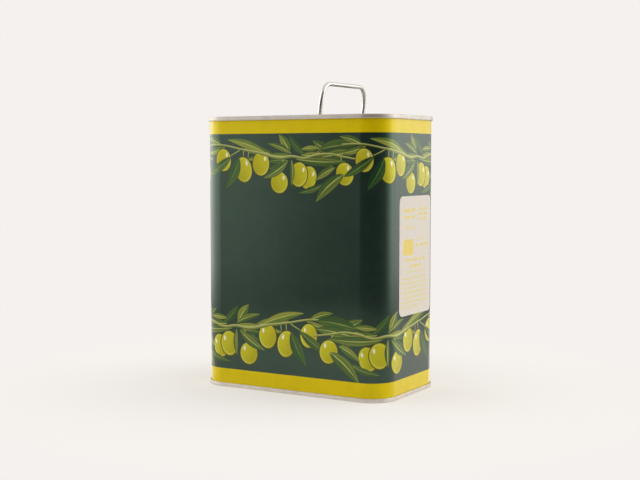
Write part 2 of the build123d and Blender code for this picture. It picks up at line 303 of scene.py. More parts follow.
def leaf_ink(tree):
    """A leaf brushed on in two halves, one lighter, with a fine pale rib and edges that sink into the ground."""
    across, along, lightness = motif_place(tree)
    light_half = mixed(tree, lightness, leaf_dark, leaf_light)
    dark_half = mixed(tree, lightness, leaf_dark_half, leaf_light_half)
    body = mixed(tree, eased(tree, across, -0.1, 0.1), dark_half, light_half)
    strokes = out(tree, "ShaderNodeCombineXYZ",
                  {0: times(tree, across, 3.0), 1: along, 2: lightness})
    streaky = out(tree, "ShaderNodeTexNoise", {"Vector": strokes, "Scale": 3.0, "Detail": 3.0})
    stroke_share = times(tree, eased(tree, streaky, 0.45, 0.75, 0.0, 0.5), lightness)
    body = mixed(tree, stroke_share, body, leaf_stroke)
    lit_edge = times(tree, eased(tree, across, 0.5, 0.66), eased(tree, across, 0.88, 0.72))
    lit_edge = times(tree, lit_edge, eased(tree, lightness, 0.1, 0.6, 0.1, 0.6))
    body = mixed(tree, lit_edge, body, leaf_stroke)
    spread = maths(tree, "ABSOLUTE", across)
    body = mixed(tree, eased(tree, spread, 0.7, 1.0, 0.0, 0.7), body, ground_green)
    rib_edge = eased(tree, along, 0.0, 1.0, 0.17, 0.09)
    rib = eased(tree, spread, rib_edge, times(tree, rib_edge, 0.4))
    rib_strength = eased(tree, lightness, 0.0, 0.4, 0.2, 0.95)
    return mixed(tree, times(tree, rib, rib_strength), body, rib_pale)


def olive_ink(tree):
    """A round yellow-green olive: shaded to one side, with a paler rim, a glint and a brown outline."""
    across, up = motif_place(tree)[:2]
    across_squared = times(tree, across, across)
    radius = maths(tree, "SQRT", maths(tree, "MULTIPLY_ADD", up, up, across_squared))
    fall = maths(tree, "MULTIPLY_ADD", up, 0.55, times(tree, across, 0.75))
    body = mixed(tree, eased(tree, fall, -0.8, 0.5), olive_shade, olive_yellow)
    mottle = speckled(tree, 3 * MM, 4.0)
    body = mixed(tree, eased(tree, mottle, 0.45, 0.8, 0.0, 0.4), body, olive_shade)
    rim = times(tree, eased(tree, radius, 0.7, 0.88), eased(tree, across, -0.7, 0.3, 0.15, 0.8))
    body = mixed(tree, rim, body, olive_rim)
    glint_across = less(tree, across, 0.46)
    glint_up = times(tree, less(tree, up, 0.4), 0.62)
    glint_squared = times(tree, glint_across, glint_across)
    from_glint = maths(tree, "SQRT", maths(tree, "MULTIPLY_ADD", glint_up, glint_up, glint_squared))
    body = mixed(tree, eased(tree, from_glint, 0.16, 0.06), body, olive_glint)
    return mixed(tree, eased(tree, radius, 0.88, 0.94), body, outline_brown)


def twig_ink(tree):
    """A twig, light above and brown-green below."""
    across = motif_place(tree)[0]
    return mixed(tree, eased(tree, across, -0.5, 0.4), twig_shade, twig_light)


def tinned(name, roughness, tone, stain, grain_length=30.0, seam_roughness=None):
    """Bright tinplate: faint clouds of flow-melted tin, and rolling lines that are finer than a hair."""
    material, tree, output = new_material(name)
    spot = add(tree, "ShaderNodeTexCoord").outputs["Object"]
    flow = speckled(tree, 7 * MM, 5.0, spot)
    stretch = {"Vector": spot, "Scale": (1 / grain_length, 1.0, 1.0)}
    drawn_out = out(tree, "ShaderNodeMapping", stretch)
    lines = speckled(tree, 0.5 * MM, 3.0, drawn_out)
    bump = bumped(tree, lines, 0.0016 * MM)
    rough = eased(tree, lines, 0.3, 0.7, roughness - 0.03, roughness + 0.03)
    if seam_roughness:
        height = axes(tree, spot)[2]
        from_middle = maths(tree, "ABSOLUTE", less(tree, height, tin_height / 2))
        seam_start, seam_end = tin_height / 2 - 3.9 * MM, tin_height / 2 - 3.3 * MM
        rolled = eased(tree, from_middle, seam_start, seam_end, 0.0, seam_roughness - roughness)
        rough = maths(tree, "ADD", rough, rolled)
    principled(tree, output, {
        "Base Color": mixed(tree, eased(tree, flow, 0.35, 0.7), tone, stain),
        "Metallic": 1.0,
        "Roughness": rough,
        "Normal": bump,
    })
    return material


sheet_inks = {
    SHEET: varnished("varnished_green_ink", ground_ink, ground_gloss),
    BAND: varnished("varnished_yellow_ink", band_ink, band_gloss),
    LEAF: varnished("varnished_leaf_ink", leaf_ink, leaf_gloss),
    OLIVE: varnished("varnished_olive_ink", olive_ink, band_gloss),
    STEM: varnished("varnished_twig_ink", twig_ink, leaf_gloss),
    BARE: tinned("lacquered_tinplate_margin", 0.22, "#C8C4BC", "#C2BEB6"),
    INSIDE: tinned("gold_lacquered_tinplate", 0.3, "#C2A468", "#B79A5C"),
}


def clipped(points, low, high):
    """What is left of a closed outline between two upright lines."""
    for limit, side in ((low, 1), (high, -1)):
        kept = []
        for here, after in zip(points, points[1:] + points[:1]):
            inside = side * (here[0] - limit) >= 0
            if inside:
                kept.append(here)
            if inside != (side * (after[0] - limit) >= 0):
                share = (limit - here[0]) / (after[0] - here[0])
                kept.append((limit, here[1] + share * (after[1] - here[1])))
        points = kept
    return points


def leaf_shape(base, tip, width, bend, lightness):
    """A lance-shaped leaf, with the place of a point along it and across it."""
    base, tip = Vector(base), Vector(tip)
    length = (tip - base).length
    ahead = (tip - base) / length
    left = Vector((-ahead.y, ahead.x))

    def half_width(share):
        return width / 2 * math.sin(math.pi * share ** leaf_belly) ** leaf_fullness

    def middle(share):
        return bend * length * 4 * share * (1 - share)

    def point(share, side):
        return tuple(base + ahead * length * share + left * (middle(share) + side * half_width(share)))

    shares = [i / leaf_stations for i in range(leaf_stations + 1)]
    outline = [point(share, -1) for share in shares] + [point(share, 1) for share in shares[-2:0:-1]]
    rib = [point(share, 0) for share in shares]

    def place(spot):
        share = min(max((spot - base).dot(ahead) / length, 0.0), 1.0)
        half = half_width(share)
        across = ((spot - base).dot(left) - middle(share)) / half if half > width / 50 else 0.0
        return max(-1.0, min(1.0, across)), share, lightness

    return outline, [rib], LEAF, place


def olive_shape(centre, width, height, lean, facing):
    """An olive as an ellipse that leans, with the place of a point measured in half widths."""
    centre = Vector(centre)
    half_width = width / 2 + olive_ink_margin * MM
    half_height = height / 2 + olive_ink_margin * MM
    up = Vector((math.sin(math.radians(lean)), math.cos(math.radians(lean))))
    right = Vector((up.y, -up.x))
    turns = [2 * math.pi * i / olive_points for i in range(olive_points)]
    outline = [tuple(centre + right * half_width * math.cos(t) + up * half_height * math.sin(t)) for t in turns]

    def place(spot):
        across = (spot - centre).dot(right) / half_width * facing
        return across, (spot - centre).dot(up) / half_height, 0.5

    return outline, [], OLIVE, place


def twig_shape(points, start_width, end_width):
    """A twig that tapers along its points, rounded between them."""
    points = [Vector(p) for p in points]
    fine = []
    for i in range(len(points) - 1):
        before, here = points[max(i - 1, 0)], points[i]
        after, beyond = points[i + 1], points[min(i + 2, len(points) - 1)]
        for k in range(6):
            t = k / 6
            squared = (2 * before - 5 * here + 4 * after - beyond) * t ** 2
            cubed = (3 * here - before - 3 * after + beyond) * t ** 3
            fine.append(0.5 * (2 * here + (after - before) * t + squared + cubed))
    fine.append(points[-1])
    sides = []
    for i, here in enumerate(fine):
        ahead = (fine[min(i + 1, len(fine) - 1)] - fine[max(i - 1, 0)]).normalized()
        half = (start_width + (end_width - start_width) * i / (len(fine) - 1)) / 2
        sides.append((here, Vector((-ahead.y, ahead.x)), half))
    outline = [tuple(p - n * h) for p, n, h in sides] + [tuple(p + n * h) for p, n, h in reversed(sides)]

    def place(spot):
        here, left, half = min(sides, key=lambda s: (s[0] - spot).length_squared)
        upward = 1 if left.y >= 0 else -1
        return max(-1.0, min(1.0, (spot - here).dot(left) / half * upward)), 0.0, 0.5

    return outline, [], STEM, place


def sprig(middle, stem_height, facing, scale):
    """One sprig of the garland on the sheet: what is printed first comes first."""

    def placed(point):
        return middle + facing * scale * point[0] * MM, stem_height + scale * point[1] * MM

    def leaf(base, tip, width, bend, lightness):
        return leaf_shape(placed(base), placed(tip), leaf_breadth * width * scale * MM, bend * facing, lightness)

    def twig(points, start_width, end_width):
        return twig_shape([placed(p) for p in points], start_width * scale * MM, end_width * scale * MM)

    def olive(centre, width, height, lean):
        return olive_shape(placed(centre), width * scale * MM, height * scale * MM, lean * facing, facing)

    return ([leaf(*each) for each in back_leaves] + [twig(*each) for each in twigs]
            + [olive(*each) for each in olives] + [leaf(*each) for each in front_leaves]
            + [twig(*each) for each in branches])


def inside_margins(shape):
    """A motif cut off where the unprinted strip along the weld begins, or nothing if it lies beyond."""
    low, high = bare_margin, sheet_length - bare_margin
    outline, ribs, slot, place = shape
    outline = clipped(outline, low, high)
    ribs = [[p for p in rib if low <= p[0] <= high] for rib in ribs]
    return [(outline, ribs, slot, place)] if len(outline) > 2 else []


def rectangle(low, foot, high, top, slot):
    """A plain block of one ink."""
    outline = [(low, foot), (high, foot), (high, top), (low, top)]
    return outline, [], slot, lambda spot: (0.0, 0.0, 0.0)


def counter_clockwise(points):
    """The outline's points in the order that keeps its inside on the left."""
    doubled_area = sum(a[0] * b[1] - b[0] * a[1] for a, b in zip(points, points[1:] + points[:1]))
    return points if doubled_area > 0 else points[::-1]


def cut_sheet(shapes, columns, rows):
    """Cut a flat sheet, the first shape, along every outline printed on it.

    A later shape is printed over an earlier one. Returns points, faces, slots and motif places.
    """
    points, faces, edges = [], [], []
    for outline, ribs, *_ in shapes:
        outline = counter_clockwise(outline)
        faces.append(list(range(len(points), len(points) + len(outline))))
        points += [Vector(p) for p in outline]
        for rib in ribs:
            for start, end in zip(rib, rib[1:]):
                points += [Vector(start), Vector(end)]
                edges.append((len(points) - 2, len(points) - 1))
    foot = min(p[1] for p in shapes[0][0])
    top = max(p[1] for p in shapes[0][0])
    left = min(p[0] for p in shapes[0][0])
    right = max(p[0] for p in shapes[0][0])
    for column in columns:
        points += [Vector((column, foot)), Vector((column, top))]
        edges.append((len(points) - 2, len(points) - 1))
    for row in rows:
        points += [Vector((left, row)), Vector((right, row))]
        edges.append((len(points) - 2, len(points) - 1))
    cut_points, _, cut_faces, _, _, owners = delaunay_2d_cdt(points, edges, faces, 1, 1e-7, True)
    kept, slots, places = [], [], []
    for face, owner in zip(cut_faces, owners):
        if 0 in owner:
            slot, place = shapes[max(owner)][2:]
            kept.append(face)
            slots.append(slot)
            middle = sum((cut_points[i] for i in face), Vector((0.0, 0.0))) / len(face)
            for i in face:
                places.append(place(cut_points[i].lerp(middle, 0.001)))
    return cut_points, kept, slots, places


def geometry_tree(name, sizes, takes_mesh=False):
    """An empty tree of geometry nodes with named sizes, as (tree, what its inputs give)."""
    tree = bpy.data.node_groups.new(name, "GeometryNodeTree")
    if takes_mesh:
        tree.interface.new_socket("Geometry", in_out="INPUT", socket_type="NodeSocketGeometry")
    for label, value in sizes.items():
        tree.interface.new_socket(label, in_out="INPUT", socket_type="NodeSocketFloat").default_value = value
    tree.interface.new_socket("Geometry", in_out="OUTPUT", socket_type="NodeSocketGeometry")
    return tree, add(tree, "NodeGroupInput").outputs


def bend_tree(name, materials):
    """Geometry nodes that carry a flat sheet round the tin: x runs along the path, y goes inwards."""
    tree, entry = geometry_tree(name, {
        "Length": tin_length, "Depth": tin_depth, "Corner Radius": corner_radius, "Start Share": 0.0,
        "Wide Bow": wide_bow, "Narrow Bow": narrow_bow, "Height": tin_height,
    }, takes_mesh=True)
    box = add(tree, "GeometryNodeCurvePrimitiveQuadrilateral",
              {"Width": entry["Length"], "Height": entry["Depth"]})
    path = out(tree, "GeometryNodeFilletCurve",
               {"Curve": box.outputs[0], "Radius": entry["Corner Radius"], "Count": 64}, mode="POLY")
    around = out(tree, "GeometryNodeCurveLength", {0: path})
    spot = axes(tree, out(tree, "GeometryNodeInputPosition"))
    run = maths(tree, "DIVIDE", spot[0], around)
    share = maths(tree, "FRACT", maths(tree, "ADD", run, entry["Start Share"]))
    sample = add(tree, "GeometryNodeSampleCurve", {"Curves": path, "Factor": share}, mode="FACTOR")
    outward = out(tree, "ShaderNodeVectorMath",
                  {0: sample.outputs["Tangent"], 1: (0.0, 0.0, 1.0)}, operation="CROSS_PRODUCT")
    on_path = axes(tree, sample.outputs["Position"])

    def swell(position, full, bow):
        flat_half = less(tree, times(tree, full, 0.5), entry["Corner Radius"])
        ratio = maths(tree, "DIVIDE", position, flat_half)
        rest = less(tree, 1.0, times(tree, ratio, ratio))
        rest = maths(tree, "MAXIMUM", rest, 0.0)
        return times(tree, times(tree, rest, rest), bow)

    bulge = maths(tree, "ADD", swell(on_path[0], entry["Length"], entry["Wide Bow"]),
                  swell(on_path[1], entry["Depth"], entry["Narrow Bow"]))
    rise = maths(tree, "MULTIPLY_ADD", maths(tree, "DIVIDE", spot[2], entry["Height"]), 2.0, -1.0)
    upright = less(tree, 1.0, times(tree, rise, rise))
    upright = maths(tree, "MAXIMUM", upright, 0.0)
    offset = less(tree, times(tree, bulge, upright), spot[1])
    moved = out(tree, "ShaderNodeVectorMath", {0: outward, "Scale": offset}, operation="SCALE")
    height = out(tree, "ShaderNodeCombineXYZ", {2: spot[2]})
    target = sample.outputs["Position"]
    for shift in (moved, height):
        target = out(tree, "ShaderNodeVectorMath", {0: target, 1: shift}, operation="ADD")
    bent = out(tree, "GeometryNodeSetPosition", {"Geometry": entry["Geometry"], "Position": target})
    closed = out(tree, "GeometryNodeMergeByDistance", {"Geometry": bent, "Distance": joint_reach})
    finished = out(tree, "GeometryNodeRealizeInstances", {"Geometry": closed})
    ink = out(tree, "GeometryNodeInputNamedAttribute", {"Name": "ink"}, data_type="INT")
    for slot, material in materials.items():
        chosen = out(tree, "FunctionNodeCompare", {2: ink, 3: slot}, data_type="INT", operation="EQUAL")
        finished = out(tree, "GeometryNodeSetMaterial",
                       {"Geometry": finished, "Selection": chosen, "Material": material})
    add(tree, "NodeGroupOutput", {0: finished})
    return tree


def in_scene(name, data):
    """A new object in the scene."""
    made = bpy.data.objects.new(name, data)
    bpy.context.scene.collection.objects.link(made)
    return made


def evaluated_mesh(maker):
    """The plain mesh that an object's geometry nodes make. The object itself goes."""
    mesh = bpy.data.meshes.new_from_object(maker.evaluated_get(bpy.context.evaluated_depsgraph_get()))
    bpy.data.objects.remove(maker)
    return mesh


def bent_round(name, flat, thickness, materials, back_slot, grown=0.0):
    """A printed sheet with its thickness, bent round the tin as one closed mesh."""
    cut_points, faces, slots, places = flat
    spots = [(p.x, -grown, p.y) for p in cut_points]
    half_edges = {(a, b) for face in faces for a, b in zip(face, face[1:] + face[:1])}
    border = [(a, b) for a, b in half_edges if (b, a) not in half_edges]
    whole_round = max(p.x for p in cut_points) - min(p.x for p in cut_points) > sheet_length - MM
    if whole_round:
        border = [(a, b) for a, b in border if abs(cut_points[a].x - cut_points[b].x) > 1e-9]
    behind = {}
    for i in sorted({i for pair in border for i in pair}, key=lambda i: (cut_points[i].x, cut_points[i].y)):
        behind[i] = len(spots)
        spots.append((cut_points[i].x, thickness - grown, cut_points[i].y))
    faces = [list(face) for face in faces]
    slots, places = list(slots), list(places)
    front_count = len(faces)
    for a, b in border:
        faces.append([b, a, behind[a], behind[b]])
    if whole_round:
        ordered = sorted(behind, key=lambda i: cut_points[i].x)
        foot = [i for i in ordered if cut_points[i].y < tin_height / 2]
        top = [i for i in ordered if cut_points[i].y > tin_height / 2]
        for (a, b), (c, d) in zip(zip(foot, foot[1:]), zip(top, top[1:])):
            faces.append([behind[a], behind[c], behind[d], behind[b]])
    else:
        ring = [border[0][0]]
        following = dict(border)
        while following[ring[-1]] != ring[0]:
            ring.append(following[ring[-1]])
        faces.append([behind[i] for i in reversed(ring)])
    added = sum(len(face) for face in faces[front_count:])
    slots += [back_slot] * (len(faces) - front_count)
    places += [(0.0, 0.0, 0.0)] * added
    mesh = bpy.data.meshes.new(name)
    mesh.from_pydata(spots, [], faces)
    mesh.attributes.new("ink", "INT", "FACE").data.foreach_set("value", slots)
    motif = mesh.attributes.new("motif", "FLOAT_VECTOR", "CORNER")
    motif.data.foreach_set("vector", [number for place in places for number in place])
    uv = mesh.uv_layers.new(name="OFBake")
    low = min(s[0] for s in spots)
    wide = max(s[0] for s in spots) - low
    foot = min(s[2] for s in spots)
    tall = max(s[2] for s in spots) - foot
    for polygon in mesh.polygons:
        front = polygon.index < front_count
        for corner in polygon.loop_indices:
            x, y, z = spots[mesh.loops[corner].vertex_index]
            across = (x - low) / wide
            up = (z - foot) / tall
            behind_up = 0.95 + 0.05 * (0.5 * up + 500 * (y + grown))
            uv.data[corner].uv = (across, 0.94 * up if front else behind_up)
    flat_piece = in_scene(name, mesh)
    tree = bend_tree(name + "_bend", materials)
    bend = flat_piece.modifiers.new("bend", "NODES")
    bend.node_group = tree
    sockets = {item.name: item.identifier for item in tree.interface.items_tree if item.in_out == "INPUT"}
    bend[sockets["Start Share"]] = (2 * corner_run + 2 * side_x + side_y) / sheet_length
    return evaluated_mesh(flat_piece)


def skin_normal(spot):
    """The true outward direction of the bowed, round-cornered wall at a point."""
    core = Vector((max(-side_x, min(side_x, spot.x)), max(-side_y, min(side_y, spot.y)), spot.z))
    normal = (spot - core).normalized()
    rise = 2 * spot.z / tin_height - 1
    upright = 1 - rise * rise
    wide = max(0.0, 1 - (spot.x / side_x) ** 2)
    narrow = max(0.0, 1 - (spot.y / side_y) ** 2)
    bulge = wide_bow * wide * wide + narrow_bow * narrow * narrow
    slope_x = -4 * wide_bow * wide * spot.x / side_x ** 2 * upright
    slope_y = -4 * narrow_bow * narrow * spot.y / side_y ** 2 * upright
    slope_z = -4 * bulge * rise / tin_height
    return (normal - Vector((slope_x, slope_y, slope_z))).normalized()


def with_true_normals(mesh, back_slot):
    """Shade the printed side by the wall's own shape, and leave the back and the edges plain."""
    ink = mesh.attributes["ink"].data
    normals = [Vector((0.0, 0.0, 1.0))] * len(mesh.loops)
    for polygon in mesh.polygons:
        printed = ink[polygon.index].value != back_slot
        for corner in polygon.loop_indices:
            spot = mesh.vertices[mesh.loops[corner].vertex_index].co
            normals[corner] = skin_normal(spot) if printed else polygon.normal.copy()
    mesh.polygons.foreach_set("use_smooth", [True] * len(mesh.polygons))
    mesh.normals_split_custom_set(normals)


def piece(name, mesh, body, *nodes):
    """A finished piece on its body, standing for CAD nodes."""
    made = in_scene(name, mesh)
    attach(made, body)
    if nodes:
        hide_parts(*nodes)
    return made


shapes = [rectangle(0.0, sheet_foot, sheet_length, sheet_top, SHEET)]
for middle in upper_sprigs:
    for shape in sprig(front_middle + middle * MM, upper_stem * MM, 1, 1.0):
        shapes += inside_margins(shape)
for middle in lower_sprigs:
    for shape in sprig(front_middle + middle * MM, lower_stem * MM, -1, lower_scale):
        shapes += inside_margins(shape)
printed_end = sheet_length - bare_margin
shapes += [
    rectangle(bare_margin, sheet_foot, printed_end, foot_band_top, BAND),
    rectangle(bare_margin, top_band_foot, printed_end, sheet_top, BAND),
    rectangle(0.0, sheet_foot, bare_margin, sheet_top, BARE),
    rectangle(printed_end, sheet_foot, sheet_length, sheet_top, BARE),
]

columns = []
start = side_y
front_run, side_run = (2 * side_x, wide_steps), (2 * side_y, narrow_steps)
for flat_run, steps in (front_run, side_run, front_run, (side_y, 3)):
    columns += [start + corner_run * i / corner_steps for i in range(corner_steps)]
    start += corner_run
    columns += [start + flat_run * i / steps for i in range(steps)]
    start += flat_run
columns += [side_y * i / 3 for i in (1, 2)]
rows = [sheet_foot + (sheet_top - sheet_foot) * i / height_steps for i in range(1, height_steps)]

printed = bent_round("printed_sheet", cut_sheet(shapes, columns, rows), plate, sheet_inks, INSIDE)
with_true_normals(printed, INSIDE)
body = piece("printed_body", printed, "tin", "body_shell")


# The side seam: the bare edges of the sheet lap by half a millimetre and are welded between rollers, which
# leave a row of close flat nuggets, grey from the heat, from one double seam to the other.

weld_foot = 3.4 * MM
weld_top = tin_height - 3.4 * MM
nugget_pitch = 0.95 * MM
nugget_size = (0.11 * MM, 0.62 * MM, 0.6 * MM)
nugget_spread = (0.9, 1.1)


def close_tree(tree, geometry, material):
    """The tree's end: one real mesh in one material."""
    single = out(tree, "GeometryNodeRealizeInstances", {"Geometry": geometry})
    finished = out(tree, "GeometryNodeSetMaterial", {"Geometry": single, "Material": material})
    add(tree, "NodeGroupOutput", {0: finished})


def nugget_tree(material):
    """Geometry nodes: flat nuggets set one after another up the bowed side."""
    sizes = {"Foot": weld_foot, "Top": weld_top, "Pitch": nugget_pitch, "Bow": narrow_bow}
    tree, entry = geometry_tree("weld_nuggets", sizes)
    run = less(tree, entry["Top"], entry["Foot"])
    start = out(tree, "ShaderNodeCombineXYZ", {0: -tin_length / 2, 2: entry["Foot"]})
    step = out(tree, "ShaderNodeCombineXYZ", {2: entry["Pitch"]})
    line = {"Count": maths(tree, "DIVIDE", run, entry["Pitch"]), "Start Location": start, "Offset": step}
    row = out(tree, "GeometryNodeMeshLine", line)
    height = axes(tree, out(tree, "GeometryNodeInputPosition"))[2]
    rise = maths(tree, "MULTIPLY_ADD", height, 2 / tin_height, -1.0)
    upright = maths(tree, "MULTIPLY_ADD", rise, times(tree, rise, -1.0), 1.0)
    bulge = times(tree, upright, entry["Bow"])
    outward = out(tree, "ShaderNodeCombineXYZ", {0: times(tree, bulge, -1.0)})
    placed = out(tree, "GeometryNodeSetPosition", {"Geometry": row, "Offset": outward})
    nugget = out(tree, "GeometryNodeMeshUVSphere", {"Segments": 10, "Rings": 6, "Radius": 1.0})
    smallest, largest = nugget_spread
    uneven = add(tree, "FunctionNodeRandomValue", {2: smallest, 3: largest, "Seed": 3}, data_type="FLOAT")
    scale = {0: nugget_size, "Scale": uneven.outputs[1]}
    size = out(tree, "ShaderNodeVectorMath", scale, operation="SCALE")
    each = {"Points": placed, "Instance": nugget, "Scale": size}
    close_tree(tree, out(tree, "GeometryNodeInstanceOnPoints", each), material)
    return tree


def grown_mesh(name, tree):
    """The plain mesh that a tree of geometry nodes makes."""
    grower = in_scene(name, bpy.data.meshes.new(name))
    grower.modifiers.new("grow", "NODES").node_group = tree
    mesh = evaluated_mesh(grower)
    mesh.shade_smooth()
    return mesh


welded_tinplate = tinned("resistance_welded_tinplate", 0.36, "#A9A7A4", "#8C8A88", 1.0)
piece("side_weld", grown_mesh("side_weld", nugget_tree(welded_tinplate)), "tin")


# Both ends are pressed from bright tinplate 0.3 mm thick, their rims rolled with the body's edge into
# the double seams. The plate keeps its rolling grain, and the seaming rolls leave the rims duller.

def smoothed(name, node, body_name, material, sharp_angle=32):
    """A finer copy of a CAD node: its loose triangles merged and its curved faces shaded smooth."""
    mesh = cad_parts[node].data.copy()
    if "custom_normal" in mesh.attributes:
        mesh.attributes.remove(mesh.attributes["custom_normal"])
    edit = bmesh.new()
    edit.from_mesh(mesh)
    bmesh.ops.remove_doubles(edit, verts=edit.verts, dist=0.002 * MM)
    edit.to_mesh(mesh)
    edit.free()
    mesh.shade_smooth()
    mesh.set_sharp_from_angle(angle=math.radians(sharp_angle))
    mesh.materials.clear()
    mesh.materials.append(material)
    return piece(name, mesh, body_name, node)


bright_tinplate = tinned("bright_rolled_tinplate", 0.3, "#C1BCB4", "#B8B2AA", seam_roughness=0.52)
for end in ("top_end", "bottom_end"):
    smoothed("pressed_" + end, end, "tin", bright_tinplate, 24)


# The seams are lined with a latex compound that stays inside them as a film. It is never seen on a
# closed tin, so it keeps the CAD's form.

def rubbery(name, colour, pale, patch_size, roughness):
    """Rubber with faint clouds of its filler."""
    material, tree, output = new_material(name)
    clouds = mixed(tree, speckled(tree, patch_size), colour, pale)
    principled(tree, output, {"Base Color": clouds, "Roughness": roughness})
    return material


compound_material = rubbery("cured_seam_compound", "#8E8A7E", "#A19C8E", 3 * MM, 0.6)
for film in ("top_seam_compound", "bottom_seam_compound"):
    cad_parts[film].data.materials.clear()
    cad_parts[film].data.materials.append(compound_material)


# The bail is drawn steel wire 3.3 mm thick, tinned, bent in one plane. Its feet are turned in under the
# ears. Drawing leaves fine lines along the wire, too fine to see one by one.

tinned_wire = tinned("drawn_tinned_wire", 0.32, "#CBC8C3", "#C4C1BC", 1.0)
smoothed("wire_bail", "bail_wire", "bail", tinned_wire, 40)


# Each ear is a strip of tinplate 0.6 mm thick, pressed over the bail's foot and held by a spot weld on
# each wing, which leaves a shallow round dent with a straw-coloured rim.

ear_x = 19.6 * MM
ear_y = 24.8 * MM
weld_reach = 6.4 * MM
weld_radius = 1.6 * MM
weld_depth = 0.12 * MM
ear_material = tinned("pressed_tinplate_ears", 0.27, "#CAC7C2", "#BFBBB5")
ear_tree = ear_material.node_tree
ear_shader = next(node for node in ear_tree.nodes if node.type == "BSDF_PRINCIPLED")
ear_place = add(ear_tree, "ShaderNodeTexCoord").outputs["Object"]
ear_spot = axes(ear_tree, ear_place)
from_ear = maths(ear_tree, "ABSOLUTE", less(ear_tree, ear_spot[0], ear_x))
weld_across = less(ear_tree, from_ear, weld_reach)
weld_along = less(ear_tree, maths(ear_tree, "ABSOLUTE", ear_spot[1]), ear_y)
weld_place = out(ear_tree, "ShaderNodeCombineXYZ", {0: weld_across, 1: weld_along})
from_weld = add(ear_tree, "ShaderNodeVectorMath", {0: weld_place}, operation="LENGTH").outputs["Value"]
burnt = times(ear_tree, eased(ear_tree, from_weld, 1.3 * weld_radius, weld_radius, 0.0, 0.7),
              eased(ear_tree, from_weld, 0.6 * weld_radius, 0.9 * weld_radius))
plain_colour = ear_shader.inputs["Base Color"].links[0].from_socket
ear_tree.links.new(mixed(ear_tree, burnt, plain_colour, "#9A8560"), ear_shader.inputs["Base Color"])
plain_tilt = ear_shader.inputs["Normal"].links[0].from_socket
hollow = eased(ear_tree, from_weld, 0.7 * weld_radius, weld_radius)
ear_tree.links.new(bumped(ear_tree, hollow, weld_depth, plain_tilt), ear_shader.inputs["Normal"])
for ear in ("bail_ear_front", "bail_ear_rear"):
    smoothed("pressed_" + ear, ear, "tin", ear_material, 30)


# The closure is injection-moulded polyethylene: waxy, a little translucent, with a fine spark-eroded
# texture on its outside. The collar and the spout are natural white, the cap is coloured yellow.

def moulded(name, colour, deep_colour, roughness=0.42, grain_height=0.006 * MM):
    """Moulded polyethylene: soft gloss, slight depth of colour and the mould's fine texture."""
    material, tree, output = new_material(name)
    cloud = speckled(tree, 8 * MM, 3.0)
    grain = speckled(tree, 0.35 * MM, 2.0)
    bump = bumped(tree, grain, grain_height)
    principled(tree, output, {
        "Base Color": mixed(tree, eased(tree, cloud, 0.35, 0.7), colour, deep_colour),
        "Roughness": eased(tree, cloud, 0.3, 0.7, roughness - 0.04, roughness + 0.04),
        "IOR": 1.51,
        "Subsurface Weight": 0.15,
        "Subsurface Scale": 0.8 * MM,
        "Subsurface Radius": (1.0, 0.9, 0.7),
        "Normal": bump,
    })
    return material


natural_polyethylene = moulded("natural_polyethylene", "#E9E6DC", "#E0DCCF")
yellow_polyethylene = moulded("yellow_polyethylene", "#D8BE2E", "#CDB126")
foamed_polyethylene = moulded("foamed_polyethylene", "#EDEBE4", "#E2DFD6", 0.6, 0.02 * MM)
# Each piece: its name, its CAD node, its body, its material and its slot
moulded_pieces = (
    ("moulded_collar", "spout_collar", "tin", natural_polyethylene, "collar_plastic"),
    ("moulded_nozzle", "spout_nozzle", "nozzle", natural_polyethylene, "nozzle_plastic"),
    ("torn_security_band", "security_band", "nozzle", yellow_polyethylene, "cap_plastic"),
    ("foam_liner", "cap_liner", "liner", foamed_polyethylene, "liner_foam"),
    ("moulded_cap", "cap_shell", "cap", yellow_polyethylene, "cap_plastic"),
    ("pull_tab_l", "pull_tab_left", "tab_left", yellow_polyethylene, "cap_plastic"),
    ("pull_tab_r", "pull_tab_right", "tab_right", yellow_polyethylene, "cap_plastic"),
)
for name, node, body_name, material, slot_name in moulded_pieces:
    smoothed(name, node, body_name, material, 30)


# The screw threads are moulded with the nozzle and the cap: a round ridge on each, wound at the pitch
# by which the cap rises when it is turned.

spout_x = -42.0 * MM
thread_pitch = 3.0 * MM
thread_ridge = 0.5 * MM
thread_taper = 24.0


def thread_tree(name, material, radius, foot, turns):
    """Geometry nodes: a round ridge wound on a cylinder, thinned out at both ends."""
    sizes = {"Radius": radius, "Foot": foot, "Turns": turns, "Pitch": thread_pitch, "Ridge": thread_ridge}
    tree, entry = geometry_tree(name, sizes)
    helix = out(tree, "GeometryNodeCurveSpiral", {
        "Resolution": 72, "Rotations": entry["Turns"], "Start Radius": entry["Radius"],
        "End Radius": entry["Radius"], "Height": times(tree, entry["Turns"], entry["Pitch"])})
    middle = out(tree, "ShaderNodeCombineXYZ", {0: spout_x, 2: entry["Foot"]})
    placed = out(tree, "GeometryNodeSetPosition", {"Geometry": helix, "Offset": middle})
    circle = {"Resolution": 10, "Radius": entry["Ridge"]}
    ridge = out(tree, "GeometryNodeCurvePrimitiveCircle", circle)
    along = out(tree, "GeometryNodeSplineParameter")
    from_ends = times(tree, along, less(tree, 1.0, along))
    ends = maths(tree, "MULTIPLY", from_ends, thread_taper, clamp=True)
    tapered = out(tree, "GeometryNodeSetCurveRadius", {"Curve": placed, "Radius": ends})
    sweep = {"Curve": tapered, "Profile Curve": ridge, "Fill Caps": True}
    close_tree(tree, out(tree, "GeometryNodeCurveToMesh", sweep), material)
    return tree


# Each thread: its name, material, radius, foot, turns, body and slot
threads = (
    ("nozzle_thread", natural_polyethylene, 10.6 * MM, 207.9 * MM, 0.55, "nozzle", "nozzle_plastic"),
    ("cap_thread", yellow_polyethylene, 12.05 * MM, 207.4 * MM, 0.75, "cap", "cap_plastic"),
)
for name, material, radius, foot, turns, body_name, slot_name in threads:
    thread = grown_mesh(name, thread_tree(name, material, radius, foot, turns))
    piece(name, thread, body_name)


# The gasket is cut from grey sheet rubber. It lies between the collar's flange and the panel, so only
# its edge can be seen.

